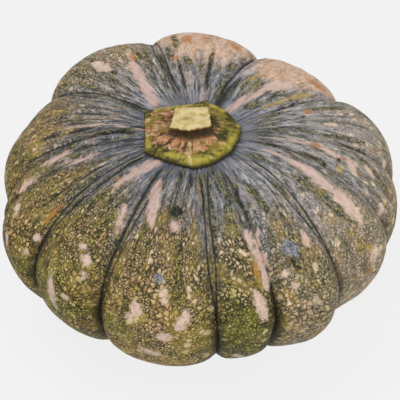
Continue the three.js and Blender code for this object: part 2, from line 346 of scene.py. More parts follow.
class Skin:
    """The fruit's surface: positions, and what its patterns follow, for each vertex."""

    def __init__(self, row, column):
        lobe_of, across_of = fruit_columns()
        value = {name: np.array([getattr(g, name) for g in GROOVES], float) for name in Groove._fields}
        lobe, across = lobe_of[column], across_of[column]
        after, before = (lobe + 1) % len(GROOVES), (lobe - 1) % len(GROOVES)
        along = fruit_rows()[row]
        rho = np.interp(along, CREST_ALONG, CREST_RHO)
        height = np.interp(along, CREST_ALONG, CREST_HEIGHT)
        slope_rho = np.gradient(CREST_RHO, CREST_ALONG)
        slope_height = np.gradient(CREST_HEIGHT, CREST_ALONG)
        steep = np.hypot(slope_rho, slope_height)
        out_rho = np.interp(along, CREST_ALONG, -slope_height / steep)
        out_up = np.interp(along, CREST_ALONG, slope_rho / steep)

        side = 2 * across - 1
        width = (value["rim"][after] - value["rim"][lobe]) % 360
        crown_width = (value["crown"][after] - value["crown"][lobe]) % 360
        bend = 1 - (1 - np.clip(along / BEND_END, 0, 1)) ** 1.6
        start = blend(value["crown"][lobe], value["rim"][lobe], bend)
        bearing = np.radians(start + across * blend(crown_width, width, bend))
        neighbour = np.where(side < 0, before, after)

        def over_lobe(name):
            at_groove = (value[name][lobe] + value[name][neighbour]) / 2
            return blend(value[name][lobe], at_groove, side * side)

        reach = over_lobe("reach") / RADIUS * (1 + 2 * value["lean"][lobe] * side * (1 - np.abs(side)))
        spread = 1 + (reach - 1) * ease(PLAIN_CROWN, 0.4, along)
        crown_groove = 0.15 * ease(PLAIN_CROWN, 0.2, along) + 0.85 * ease(PLAIN_CROWN, 0.45, along)
        strength = crown_groove * (1 - ease(0.86, 1.0, along))
        dome = np.maximum(0.0, 1 - np.abs(side) ** 2.2) ** 0.6
        depth = blend(value["depth"][lobe], value["depth"][after], across)
        from_bed = np.radians(width * (0.5 - np.abs(across - 0.5))) * rho
        cord_height = np.where(side < 0, value["cord"][lobe], value["cord"][after])
        cord = cord_height * np.exp(-((from_bed / CORD_WIDTH) ** 2))
        cut = strength * (depth * (1 - dome) - cord)

        # What is finer than the lobes: furrows beside the cords, ribs on the crown
        flow = value["rim"][lobe] + across * width
        wander = flow + 1.2 * np.sin(along * 17 + np.radians(flow) * 3)
        near_stalk = ease(0.07, 0.13, along) * (1 - ease(0.24, 0.46, along))
        ribbed_side = 1 + 1.3 * np.exp(-(((flow - 276) / 26) ** 2))
        ribs = ripple(wander, (47, 61, 74, 95), seed=3)
        fine_ribs = ripple(wander, (118, 149, 187, 231), seed=8)
        beside = (1.7 + 0.5 * np.sin(along * 23 + lobe * 2 + side)) * (1 - ease(0.28, 0.46, along))
        self.furrow = np.exp(-(((from_bed - beside) / FURROW_WIDTH) ** 2)) * (cord_height > 0)
        self.furrow += 0.7 * np.exp(-((from_bed / PLAIN_FURROW_WIDTH) ** 2)) * (cord_height == 0)
        self.furrow *= ease(0.09, 0.16, along) * (1 - 0.75 * ease(0.42, 0.55, along))
        self.cord = np.exp(-((from_bed / CORD_LINE) ** 2)) * (cord_height > 0) * ease(0.10, 0.16, along)
        self.cord *= 1 - ease(0.26, 0.40, along)
        relief = 0.60 * ribs * near_stalk * ribbed_side + 0.24 * fine_ribs * near_stalk
        on_flank = ease(0.34, 0.46, along) * (1 - ease(0.6, 0.8, along))
        relief -= VALLEY_DEPTH * np.exp(-((from_bed / VALLEY_WIDTH) ** 2)) * on_flank
        relief -= 0.55 * self.furrow
        # Valleys between the crown's ribs, which the skin darkens as painted shade
        self.crease_shade = np.clip(-(ribs * 0.6 + fine_ribs * 0.6) * near_stalk * ribbed_side, 0, 2)

        out = relief - cut
        self.rho = rho * spread + out_rho * out
        backed = (0.5 + 0.5 * np.cos(bearing - math.radians(LIFT_BEARING))) ** 2
        lift = LIFT * backed * ease(PLAIN_CROWN, 0.4, along) * (1 - ease(0.45, 0.78, along))
        self.x = self.rho * np.sin(bearing)
        self.y = -self.rho * np.cos(bearing)
        self.z = height + out_up * out + lift
        self.along, self.flow, self.from_bed, self.across = along, flow % 360, from_bed, across
        self.bloom_end, self.ochre = over_lobe("bloom"), over_lobe("ochre")
        self.peach, self.green, self.grey = over_lobe("peach"), over_lobe("green"), over_lobe("grey")

    def grain(self):
        """Coordinates in mm that run with the skin: cells drawn out into streaks near the stalk."""
        stretch = blend(0.45, 1.0, ease(0.08, 0.36, CREST_ALONG))
        steps = (stretch[1:] + stretch[:-1]) / 2 * np.diff(CREST_ALONG)
        walked = np.concatenate([[0.0], np.cumsum(steps)]) * CREST_LENGTH
        bearing = np.radians(self.flow)
        x = PATTERN_RADIUS * np.sin(bearing)
        y = -PATTERN_RADIUS * np.cos(bearing)
        return np.stack([x, y, np.interp(self.along, CREST_ALONG, walked)], axis=1)

    def marks(self, marks, softness):
        """How far inside the nearest mark a place is: above 0 inside, below 0 outside."""
        best = np.full(len(self.along), -1.0)
        scale = math.radians(1) * np.maximum(self.rho, 20.0)
        for mark in marks:
            u = ((self.flow - mark.bearing + 180) % 360 - 180) * scale
            v = (self.along - mark.along) * CREST_LENGTH
            du = ((mark.to_bearing - mark.bearing + 180) % 360 - 180) * scale
            dv = (mark.to_along - mark.along) * CREST_LENGTH
            part = np.clip((u * du + v * dv) / (du * du + dv * dv + 1e-6), -0.1, 1.1)
            away = np.hypot(u - part * du, v - part * dv)
            taper = 0.3 + 0.7 * (1 - np.abs((2 * part - 1) / 1.2) ** 3)
            best = np.maximum(best, (mark.width / 2 * taper - away) / softness)
        return np.clip(best, -1, 1)


# Making pieces

def deselect_all():
    bpy.ops.object.select_all(action="DESELECT")


def ringed_ball(name, columns, rows):
    """A ball of rings, and the row and column of each of its vertices."""
    deselect_all()
    bpy.ops.mesh.primitive_uv_sphere_add(segments=columns // 2, ring_count=rows // 2, radius=1.0)
    piece = bpy.context.active_object
    piece.name = name
    halved = piece.modifiers.new("halved", "SUBSURF")
    halved.subdivision_type = "SIMPLE"
    halved.levels = 1
    halved.render_levels = 1
    bpy.ops.object.modifier_apply(modifier=halved.name)
    place = np.empty(len(piece.data.vertices) * 3)
    piece.data.vertices.foreach_get("co", place)
    place = place.reshape(-1, 3)
    down = np.arccos(np.clip(place[:, 2] / np.linalg.norm(place, axis=1), -1, 1))
    round_axis = np.arctan2(place[:, 1], place[:, 0])
    row = np.rint(down / math.pi * rows).astype(int)
    column = np.rint(round_axis / (2 * math.pi) * columns).astype(int) % columns
    return piece, row, column


def set_places(piece, x, y, z):
    """Puts the vertices at places given in mm from the fruit's own middle."""
    place = (np.stack([x, y, z], axis=1) + np.array(AXIS)) * MM
    place[:, 2] = np.maximum(place[:, 2], 0.0)
    piece.data.vertices.foreach_set("co", place.ravel())
    piece.data.update()


def add_value(piece, name, values):
    layer = piece.data.attributes.new(name, "FLOAT", "POINT")
    layer.data.foreach_set("value", np.asarray(values, dtype=np.float32))


def add_vector(piece, name, values):
    layer = piece.data.attributes.new(name, "FLOAT_VECTOR", "POINT")
    layer.data.foreach_set("vector", np.asarray(values, dtype=np.float32).ravel())


def displace(piece, name, size, strength):
    """Pushes the surface in and out by a cloudy unevenness of one size."""
    clouds = bpy.data.textures.new(name, "CLOUDS")
    clouds.noise_scale = size * MM
    clouds.noise_depth = 1
    modifier = piece.modifiers.new(name, "DISPLACE")
    modifier.texture = clouds
    modifier.texture_coords = "LOCAL"
    modifier.strength = strength * MM
    modifier.mid_level = 0.5
    bpy.context.view_layer.objects.active = piece
    bpy.ops.object.modifier_apply(modifier=modifier.name)


def smooth_shaded(piece):
    deselect_all()
    piece.select_set(True)
    bpy.context.view_layer.objects.active = piece
    bpy.ops.object.shade_smooth()


# The fruit

def make_fruit():
    piece, row, column = ringed_ball("ribbed_fruit", FRUIT_COLUMNS, FRUIT_ROWS)
    skin = Skin(row, column)
    set_places(piece, skin.x, skin.y, skin.z)
    displace(piece, "lumps", size=34.0, strength=1.6)
    displace(piece, "dents", size=11.0, strength=0.45)
    settle(piece)
    add_vector(piece, "grain", skin.grain())
    add_value(piece, "along", skin.along)
    add_value(piece, "furrow", skin.furrow)
    add_value(piece, "crease_shade", skin.crease_shade)
    add_value(piece, "cord", skin.cord)
    add_value(piece, "bloom", bloom(skin))
    add_value(piece, "ochre", skin.ochre)
    add_value(piece, "peach", peach(skin))
    add_value(piece, "green", skin.green)
    add_value(piece, "grey", skin.grey)
    # Closeness to a groove's bed, where the skin is darkened as painted shade
    add_value(piece, "bed_shade", np.exp(-((skin.from_bed / BED_SHADE_WIDTH) ** 2)))
    add_value(piece, "pale", skin.marks(PALE_MARKS, MARK_EDGE))
    add_value(piece, "orange", skin.marks(ORANGE_MARKS, MARK_EDGE))
    add_value(piece, "yellow", skin.marks(YELLOW_MARKS, MARK_EDGE))
    add_value(piece, "dark", skin.marks(DARK_MARKS, MARK_EDGE))
    add_value(piece, "dash", skin.marks(DASH_MARKS, DASH_EDGE))
    add_value(piece, "wax", skin.marks(WAX_MARKS, MARK_EDGE))
    smooth_shaded(piece)
    return piece


def settle(piece):
    """Keeps the underside out of the floor."""
    place = np.empty(len(piece.data.vertices) * 3)
    piece.data.vertices.foreach_get("co", place)
    place[2::3] = np.maximum(place[2::3], 0.0)
    piece.data.vertices.foreach_set("co", place)


def bloom(skin):
    """The grey-blue wax: over the crown, and further down beside the grooves."""
    crown = 1 - ease(0.45, 1.25, skin.along / skin.bloom_end)
    beside = 0.75 * np.exp(-((skin.from_bed / 6.0) ** 2)) * (1 - ease(0.26, 0.46, skin.along))
    return np.clip(crown + beside, 0, 1)


def peach(skin):
    """The peach flush of the far lobes, which starts below the crown."""
    return skin.peach * ease(0.16, 0.29, skin.along) * (1 - 0.6 * ease(0.55, 0.7, skin.along))


# The stalk

def foot_reach(bearing):
    """How far the stalk's foot reaches at a bearing."""
    reach = np.zeros_like(bearing)
    for k, rib in enumerate(RIBS):
        following = RIBS[(k + 1) % len(RIBS)]
        width = (following.bearing - rib.bearing) % 360
        turn = (bearing - rib.bearing) % 360
        across = np.clip(turn / width, 0, 1)
        flat = blend(rib.reach, following.reach, ease(0, 1, across))
        reach = np.where(turn < width, flat - rib.fall * np.sin(math.pi * across), reach)
    return reach


def cut_reach(bearing):
    """How far the cut face reaches at a bearing, with straight sides between its corners."""
    reach = np.zeros_like(bearing)
    for k, (first, near) in enumerate(CUT_CORNERS):
        second, far = CUT_CORNERS[(k + 1) % len(CUT_CORNERS)]
        width = (second - first) % 360
        turn = (bearing - first) % 360
        side = near * np.sin(np.radians(turn)) + far * np.sin(np.radians(width - turn))
        straight = near * far * math.sin(math.radians(width)) / np.maximum(side, 0.1)
        reach = np.where(turn < width, straight, reach)
    return reach


# From the middle of the cut face over its edge, down the neck and skirt and under the base:
# share of the rows, share of the way from the base's outline to the cut face's, of the height,
# of the reach, and how far the outline is drawn in
STALK_PROFILE = np.array([
    [0.00, 1.00, 1.00, 0.00, 0.0],
    [0.20, 1.00, 1.00, 1.00, 0.5],
    [0.22, 1.00, 0.985, 1.00, 0.1],
    [0.25, 1.00, 0.95, 1.00, 0.1],
    [0.29, 1.00, 0.88, 1.00, 1.4],
    [0.34, 1.00, 0.80, 1.00, 2.2],
    [0.41, 0.93, 0.69, 1.00, 1.2],
    [0.48, 0.76, 0.58, 1.00, 0.3],
    [0.56, 0.54, 0.48, 1.00, -0.2],
    [0.64, 0.32, 0.39, 1.00, -0.5],
    [0.72, 0.13, 0.29, 1.00, -0.5],
    [0.80, 0.02, 0.18, 1.00, -0.2],
    [0.85, 0.00, 0.09, 1.00, 0.0],
    [0.89, 0.00, 0.02, 1.00, 0.7],
    [0.92, 0.00, 0.00, 0.94, 0.7],
    [1.00, 0.00, 0.00, 0.00, 0.7],
])


def make_stalk():
    piece, row, column = ringed_ball("corky_stalk", STALK_COLUMNS, STALK_ROWS)
    share = row / STALK_ROWS
    bearing = 360.0 * column / STALK_COLUMNS
    profile = [np.interp(share, STALK_PROFILE[:, 0], STALK_PROFILE[:, k]) for k in range(1, 5)]
    to_cut, height, reach_share, inset = profile
    base = foot_reach(bearing)
    cut = cut_reach(bearing)
    fibres = ripple(bearing, (29, 43, 58, 77), seed=21)
    ragged = ripple(bearing, (11, 17, 26, 35), seed=5)
    on_side = ease(0.20, 0.27, share) * (1 - ease(0.84, 0.88, share))
    near_rib = np.zeros_like(bearing)
    for rib in RIBS:
        from_rib = (bearing - rib.bearing + 180) % 360 - 180
        near_rib = np.maximum(near_rib, np.exp(-((from_rib / RIB_WIDTH) ** 2)))
    outline = blend(base, cut, to_cut) - inset
    outline += on_side * (0.28 * fibres + 0.9 * near_rib * ease(0.25, 0.5, share))
    outline += 0.45 * ragged * (ease(0.10, 0.2, share) - ease(0.27, 0.34, share))
    distance = np.maximum(0.0, outline * reach_share)
    middle_x = blend(STALK_BASE.x, STALK_CUT.x, height)
    middle_y = blend(STALK_BASE.y, STALK_CUT.y, height)
    x = middle_x + distance * np.sin(np.radians(bearing))
    y = middle_y - distance * np.cos(np.radians(bearing))
    foot = crown_height(np.hypot(x, y)) + GAP
    on_cap = 1 - ease(0.19, 0.22, share)
    level = STALK_CUT.z + CUT_RISE * x
    level += on_cap * 0.25 * np.sin(x * 0.9 + 1.0) * np.cos(y * 0.7)
    z = blend(foot, level, height) + 0.5 * near_rib * on_side * (1 - to_cut)
    set_places(piece, x, y, z)
    radians = np.radians(bearing)
    fibre_x = FIBRE_RADIUS * np.sin(radians)
    fibre_y = -FIBRE_RADIUS * np.cos(radians)
    add_vector(piece, "fibre", np.stack([fibre_x, fibre_y, FIBRE_LENGTH * share], axis=1))
    add_vector(piece, "place", np.stack([x, y, z], axis=1))
    add_value(piece, "cap", on_cap)
    # Pale dotted line down the front rib and fainter lines on the others, partly painted highlight on
    # the ribs' tops
    front_rib = np.exp(-(((bearing - RIBS[0].bearing + 183) % 360 - 180) / 3.0) ** 2)
    add_value(piece, "rib", np.maximum(0.25 * near_rib, front_rib * ease(0.42, 0.5, share)) * on_side)
    left = 0.5 + 0.5 * np.cos(radians - math.radians(300))
    cork_end = 0.50 + 0.18 * np.exp(-(((bearing - 262) / 28) ** 2))
    add_value(piece, "corky", (0.42 + 0.66 * left) * (1 - ease(cork_end, cork_end + 0.20, share)))
    # Painted highlight round the middle of the skirt's bulge
    add_value(piece, "skirt", np.exp(-(((share - 0.69) / 0.06) ** 2)))
    # Painted shade where the foot's rim curves down to the skin
    add_value(piece, "foot", ease(0.73, 0.84, share))
    # Painted shadow round the neck, under the overhang of the cut face
    add_value(piece, "neck", np.exp(-(((share - 0.38) / 0.09) ** 2)))
    displace(piece, "stalk_lumps", size=7.0, strength=0.5)
    smooth_shaded(piece)
    return piece


# Materials

def colour(code):
    """A colour from its six-digit sRGB code."""
    parts = [int(code[i:i + 2], 16) / 255 for i in (0, 2, 4)]
    return [p / 12.92 if p <= 0.04045 else ((p + 0.055) / 1.055) ** 2.4 for p in parts] + [1.0]


class Finish:
    """One material's nodes, added and joined in the order that the finish is built up."""

    def __init__(self, name):
        self.material = bpy.data.materials.new(name)
        self.material.use_nodes = True
        self.tree = self.material.node_tree
        self.shader = self.tree.nodes["Principled BSDF"]

    def put(self, socket, value):
        if isinstance(value, bpy.types.NodeSocket):
            self.tree.links.new(value, socket)
        else:
            socket.default_value = value

    def attribute(self, name, output="Fac"):
        node = self.tree.nodes.new("ShaderNodeAttribute")
        node.attribute_name = name
        return node.outputs[output]

    def math(self, operation, a, b=0.0, clamp=False):
        node = self.tree.nodes.new("ShaderNodeMath")
        node.operation = operation
        node.use_clamp = clamp
        self.put(node.inputs[0], a)
        self.put(node.inputs[1], b)
        return node.outputs[0]

    def add(self, a, b):
        return self.math("ADD", a, b)

    def subtract(self, a, b):
        return self.math("SUBTRACT", a, b)

    def times(self, a, b):
        return self.math("MULTIPLY", a, b)

    def about_zero(self, value):
        """A noise from 0 to 1 moved to lie as much below 0 as above it."""
        return self.subtract(value, 0.5)

    def vector_math(self, operation, a, b):
        node = self.tree.nodes.new("ShaderNodeVectorMath")
        node.operation = operation
        self.put(node.inputs[0], a)
        if operation == "SCALE":
            self.put(node.inputs["Scale"], b)
        else:
            self.put(node.inputs[1], b)
        return node.outputs[0]

    def noise(self, vector, scale, detail=2.0, roughness=0.5, output="Fac"):
        node = self.tree.nodes.new("ShaderNodeTexNoise")
        self.put(node.inputs["Vector"], vector)
        self.put(node.inputs["Scale"], scale)
        self.put(node.inputs["Detail"], detail)
        self.put(node.inputs["Roughness"], roughness)
        return node.outputs[output]

    def cells(self, vector, scale, feature, output):
        node = self.tree.nodes.new("ShaderNodeTexVoronoi")
        node.feature = feature
        self.put(node.inputs["Vector"], vector)
        self.put(node.inputs["Scale"], scale)
        return node.outputs[output]

    def step(self, value, start, end, low=0.0, high=1.0):
        """Smoothly from low to high while value goes from start to end."""
        node = self.tree.nodes.new("ShaderNodeMapRange")
        node.interpolation_type = "SMOOTHSTEP"
        self.put(node.inputs["Value"], value)
        self.put(node.inputs["From Min"], start)
        self.put(node.inputs["From Max"], end)
        self.put(node.inputs["To Min"], low)
        self.put(node.inputs["To Max"], high)
        return node.outputs["Result"]

    def mix(self, share, a, b):
        node = self.tree.nodes.new("ShaderNodeMix")
        node.data_type = "RGBA"
        self.put(node.inputs["Factor"], share)
        self.put(node.inputs[6], a)
        self.put(node.inputs[7], b)
        return node.outputs[2]

    def warped(self, vector, scale, amount):
        """The coordinates pushed about by a noise, by up to half of amount each way."""
        clouds = self.noise(vector, scale, 2.0, 0.5, "Color")
        push = self.vector_math("SUBTRACT", clouds, (0.5, 0.5, 0.5))
        return self.vector_math("ADD", vector, self.vector_math("SCALE", push, amount))

    def bump(self, height, distance, strength):
        node = self.tree.nodes.new("ShaderNodeBump")
        self.put(node.inputs["Strength"], strength)
        self.put(node.inputs["Distance"], distance)
        self.put(node.inputs["Height"], height)
        return node.outputs["Normal"]


# Ground of the skin, lobe by lobe
TAN = colour("b6984c")
PINKISH = colour("c69c84")
OCHRE = colour("876a20")
DUSTY = colour("85784a")
WARM = colour("bd8a50")
OLIVE = colour("7d7a28")
GREYED = colour("b0a497")
PEACH = colour("cfa688")
PALE_PEACH = colour("ddc3b2")

# Net and spots
PALE_DOT = colour("dcc7ae")
CREAM_DOT = colour("ccbb78")
NET = colour("22290e")
NET_BROWN = colour("433817")
LARGE_CELLS, SMALL_CELLS, SPOTS = 0.41, 0.62, 0.22
SKIN_RELIEF = 0.8

# Bloom and what is drawn on it
SLATE = colour("616b7e")
MID_GREY = colour("858383")
# Dark slate streaks of the bloom; also the painted shade in the creases between the crown's ribs
DARK_SLATE_AND_CREASE_SHADE = colour("242826")
PALE_SLATE = colour("b9b4b5")
DASH_GREEN = colour("272c12")
FLECK_YELLOW = colour("a7993f")

# Grooves and marks
FURROW = colour("1e201e")
CORD_PALE = colour("8c8450")
# Painted shade: dark brown laid along the grooves' beds, where the lobes shade them
BED_SHADE = colour("241b10")
PINK = colour("c6aba1")
CREAM_PINK = colour("dabfad")
WAX = colour("8d92a0")
YELLOW = colour("a88d36")
ORANGE = colour("ab6e30")
DARK_GREEN = colour("1a1d11")
MARK_TINTS = (("yellow", YELLOW, 0.7), ("orange", ORANGE, 0.78), ("dark", DARK_GREEN, 1.0))


def skin_patterns(f):
    """What the skin's colours follow: its own values, and uneven noises about 0 to each side."""
    p = SimpleNamespace()
    grain = f.attribute("grain", "Vector")
    swayed = f.warped(grain, 0.09, 5.0)
    p.ragged = f.warped(f.warped(swayed, 0.6, 1.8), 1.7, 0.55)
    drawn = f.vector_math("MULTIPLY", swayed, (1.0, 1.0, 0.65))
    long = f.vector_math("MULTIPLY", swayed, (1.0, 1.0, 0.10))
    p.along = f.attribute("along")
    p.green = f.attribute("green")
    p.grey = f.attribute("grey")
    p.ochre = f.attribute("ochre")
    p.broad = f.about_zero(f.noise(grain, 0.035, 3.0, 0.55))
    p.patchy = f.about_zero(f.noise(swayed, 0.10, 3.0, 0.6))
    p.mottle = f.about_zero(f.noise(p.ragged, 0.34, 4.0, 0.62))
    p.speckle = f.about_zero(f.noise(p.ragged, 1.0, 3.0, 0.65))
    p.streak = f.about_zero(f.noise(drawn, 0.32, 4.0, 0.68))
    p.thin_streak = f.about_zero(f.noise(drawn, 0.85, 3.0, 0.65))
    p.band = f.about_zero(f.noise(long, 0.24, 3.0, 0.65))
    grit = f.add(f.times(p.mottle, 0.8), f.times(p.speckle, 0.7))
    p.rough_edge = f.add(f.times(p.streak, 1.2), grit)
    p.low = f.step(p.along, 0.26, 0.50)
    p.high = f.subtract(1.0, p.low)
    p.green_below = f.times(p.green, p.low)
    p.greener = f.times(p.green_below, 0.16)
    return p


def ground(f, p):
    """Buff and pinkish patches, with greyer, ochre, dusty, olive and warm ones over them."""
    pinker = f.add(f.add(p.mottle, p.patchy), f.subtract(f.times(p.grey, 0.28), p.greener))
    skin = f.mix(f.step(pinker, -0.10, 0.16), TAN, PINKISH)
    greyer = f.add(f.times(p.grey, 0.32), f.times(p.high, 0.05))
    skin = f.mix(f.step(f.add(p.patchy, greyer), 0.06, 0.28, 0.0, 0.85), skin, GREYED)
    ochre = f.add(f.times(p.grey, 0.16), f.times(p.high, 0.10))
    ochre = f.subtract(f.times(p.ochre, 0.42), ochre)
    ochre = f.add(ochre, f.add(p.patchy, f.times(p.band, 0.6)))
    skin = f.mix(f.step(ochre, 0.16, 0.40, 0.0, 0.8), skin, OCHRE)
    dusty = f.times(p.high, f.step(f.add(p.grey, p.ochre), 0.5, 0.9, 0.75, 0.35))
    dusty = f.times(dusty, f.step(f.add(p.mottle, p.patchy), 0.2, -0.1, 0.5, 1.0))
    skin = f.mix(dusty, skin, DUSTY)
    olive = f.subtract(f.times(p.green_below, 0.46), f.times(p.grey, 0.16))
    olive = f.add(olive, f.add(p.broad, f.times(p.speckle, 0.8)))
    skin = f.mix(f.step(olive, 0.04, 0.36, 0.0, 0.85), skin, OLIVE)
    warm = f.add(f.subtract(p.patchy, f.times(p.broad, 0.8)), f.times(p.ochre, 0.24))
    warm = f.add(warm, f.times(p.mottle, 0.4))
    return f.mix(f.step(warm, 0.10, 0.34, 0.0, 0.55), skin, WARM)


def peach_flush(f, p, skin):
    """The smooth peach of the far lobes. What is drawn later keeps to where p.plain is high."""
    flushed = f.mix(f.step(p.streak, -0.1, 0.12), PEACH, PALE_PEACH)
    flush = f.add(f.attribute("peach"), f.add(f.times(p.mottle, 0.7), f.times(p.patchy, 1.2)))
    flush = f.step(flush, 0.32, 0.66, 0.0, 0.9)
    p.plain = f.subtract(1.0, f.times(flush, 0.8))
    skin = f.mix(flush, skin, flushed)
    rusty = f.times(flush, f.step(f.add(p.patchy, p.mottle), 0.05, 0.22, 0.0, 0.6))
    return f.mix(rusty, skin, ORANGE)


def cells_and_spots(f, p, skin):
    """Cells of the net, small in some patches and larger in others, and sparse pale spots."""
    small = f.step(f.add(f.times(p.broad, 1.5), p.patchy), -0.08, 0.08)
    large_edge = f.cells(p.ragged, LARGE_CELLS, "DISTANCE_TO_EDGE", "Distance")
    small_edge = f.cells(p.ragged, SMALL_CELLS, "DISTANCE_TO_EDGE", "Distance")
    p.net = f.mix(small, large_edge, small_edge)
    large_shade = f.cells(p.ragged, LARGE_CELLS, "F1", "Color")
    small_shade = f.cells(p.ragged, SMALL_CELLS, "F1", "Color")
    shade = f.mix(small, large_shade, small_shade)
    pale = f.add(shade, f.add(f.times(p.mottle, 1.4), f.times(p.low, 0.20)))
    pale = f.times(f.step(p.net, 0.04, 0.40), f.step(pale, 0.46, 1.04))
    yellowish = f.add(f.subtract(f.times(p.ochre, 0.16), f.times(p.grey, 0.08)), p.greener)
    creamy = f.times(f.step(p.along, 0.22, 0.42), f.step(f.add(p.patchy, yellowish), -0.08, 0.12))
    p.dot_colour = f.mix(creamy, PALE_DOT, CREAM_DOT)
    skin = f.mix(f.times(pale, f.times(p.plain, 0.8)), skin, p.dot_colour)
    skin = f.mix(f.times(p.plain, f.step(shade, 0.42, 0.22, 0.0, 0.4)), skin, NET_BROWN)

    size = f.add(f.cells(p.ragged, SPOTS, "F1", "Color"), f.times(p.grey, 0.26))
    spot = f.add(f.subtract(size, 0.58), f.times(p.mottle, 0.5))
    spot = f.subtract(spot, f.cells(p.ragged, SPOTS, "F1", "Distance"))
    p.spot = f.times(f.step(spot, -0.12, 0.12, 0.0, 0.85), p.plain)
    return f.mix(p.spot, skin, p.dot_colour)


def net_lines(f, p, skin):
    """The net's own lines, thick and dark in some patches and faint and broken in others."""
    line = f.add(f.times(p.patchy, 0.24), f.times(p.green_below, 0.07))
    line = f.add(f.times(p.high, 0.05), line)
    faint = f.times(f.step(p.patchy, -0.16, 0.06, 0.6, 1.0), f.step(p.grey, 0.4, 0.8, 1.0, 0.7))
    broken = f.add(p.net, f.times(p.speckle, 0.40))
    p.on_net = f.times(f.step(broken, line, f.add(line, 0.16), 1.0, 0.0), faint)
    p.on_net = f.times(p.on_net, f.times(f.step(p.spot, 0.3, 0.8, 1.0, 0.2), p.plain))
    darker = f.step(f.add(p.speckle, f.times(p.green, 0.12)), -0.12, 0.12)
    skin = f.mix(p.on_net, skin, f.mix(darker, NET_BROWN, NET))
    dark_specks = f.add(p.speckle, f.subtract(f.times(p.high, 0.04), f.times(p.grey, 0.04)))
    skin = f.mix(f.times(p.plain, f.step(dark_specks, 0.10, 0.20, 0.0, 0.6)), skin, NET)
    pale_specks = f.times(p.plain, f.step(p.speckle, -0.08, -0.20, 0.0, 0.6))
    return f.mix(pale_specks, skin, p.dot_colour)


def waxy_bloom(f, p, skin):
    """Grey bloom with pale and dark streaks, over the crown and beside the grooves."""
    p.quiet = f.step(f.subtract(p.patchy, p.band), -0.10, 0.12)
    waxy = f.mix(f.step(p.along, 0.14, 0.34, 0.0, 0.8), SLATE, MID_GREY)
    darker = f.step(f.add(p.streak, f.times(p.quiet, 0.05)), -0.01, -0.11, 0.0, 0.95)
    waxy = f.mix(darker, waxy, DARK_SLATE_AND_CREASE_SHADE)
    crumbs = f.times(p.speckle, f.step(p.quiet, 0.0, 1.0, 0.9, 0.3))
    paler = f.add(f.subtract(p.streak, f.times(p.band, 0.5)), crumbs)
    paler = f.step(f.add(paler, f.times(p.grey, 0.17)), 0.05, 0.20, 0.0, 0.9)
    waxy = f.mix(f.times(paler, f.step(p.along, 0.09, 0.17, 0.4, 1.0)), waxy, PALE_SLATE)
    pinker = f.step(f.subtract(p.mottle, f.times(p.band, 0.7)), 0.10, 0.22, 0.0, 0.6)
    waxy = f.mix(pinker, waxy, PINKISH)
    edge = f.add(f.times(p.patchy, 1.3), f.add(f.times(p.band, 1.3), p.mottle))
    share = f.step(f.add(f.attribute("bloom"), edge), 0.30, 1.0, 0.0, 0.94)
    veins = f.add(p.on_net, f.times(p.spot, f.add(p.grey, 0.2)))
    veins = f.times(veins, f.step(p.along, 0.14, 0.30, 0.15, 0.9))
    return f.mix(f.times(share, f.subtract(1.0, veins)), skin, waxy)


def dashes_on_bloom(f, p, skin):
    """Dark green dashes with yellow flecks between them, and thin dark streaks, on the crown."""
    further = f.add(f.times(p.ochre, 0.22), f.times(p.grey, 0.26))
    on_crown = f.step(f.subtract(p.along, further), 0.38, 0.18)
    on_crown = f.times(on_crown, f.step(p.along, 0.085, 0.135))
    dashed = f.step(f.add(f.attribute("dash"), f.times(p.rough_edge, 0.8)), -0.2, 0.2)
    calm = f.times(p.plain, f.step(p.along, 0.10, 0.16))
    calm = f.times(f.step(p.grey, 0.5, 0.8, 1.0, 0.5), calm)
    crumbs = f.add(f.times(p.mottle, 0.6), f.times(p.speckle, 1.4))
    banded = f.times(f.step(f.add(p.band, f.times(p.thin_streak, 0.4)), 0.035, 0.08), calm)
    dashes = f.times(f.math("MAXIMUM", banded, dashed), f.step(crumbs, -0.08, 0.02))
    skin = f.mix(f.times(on_crown, f.times(dashes, 0.92)), skin, DASH_GREEN)
    flecks = f.math("MAXIMUM", f.times(f.step(p.band, 0.02, 0.06), calm), dashed)
    flecks = f.times(flecks, f.step(crumbs, -0.06, -0.14))
    skin = f.mix(f.times(on_crown, f.times(flecks, 0.75)), skin, FLECK_YELLOW)
    thin_dark = f.step(f.subtract(p.thin_streak, p.speckle), 0.10, 0.24, 0.0, 0.8)
    thin_dark = f.times(f.times(on_crown, thin_dark), calm)
    thin_dark = f.times(thin_dark, f.step(p.quiet, 0.2, 0.9, 1.0, 0.4))
    return f.mix(thin_dark, skin, DARK_SLATE_AND_CREASE_SHADE)


def groove_lines(f, p, skin):
    """Painted shade in the grooves' beds, cords, furrows beside them, and painted shade in the creases
    between the crown's ribs.
    """
    # Painted shade: the grooves' beds darkened towards dark brown, more strongly low on the fruit
    bed_shade = f.times(f.attribute("bed_shade"), f.step(p.along, 0.34, 0.48, 0.15, 0.95))
    skin = f.mix(bed_shade, skin, BED_SHADE)
    corded = f.step(f.add(p.streak, p.speckle), 0.0, 0.12, 0.0, 0.85)
    skin = f.mix(f.times(f.attribute("cord"), corded), skin, CORD_PALE)
    furrow = f.add(f.attribute("furrow"), f.add(f.times(p.mottle, 0.9), f.times(p.band, 0.8)))
    skin = f.mix(f.step(furrow, 0.25, 0.85, 0.0, 0.9), skin, FURROW)
    # Painted shade: the creases between the crown's ribs darkened to dark slate
    crease_shade = f.add(f.attribute("crease_shade"), f.times(p.thin_streak, 2.0))
    crease_shade = f.times(f.step(crease_shade, 0.30, 1.1, 0.0, 0.88), p.plain)
    return f.mix(crease_shade, skin, DARK_SLATE_AND_CREASE_SHADE)


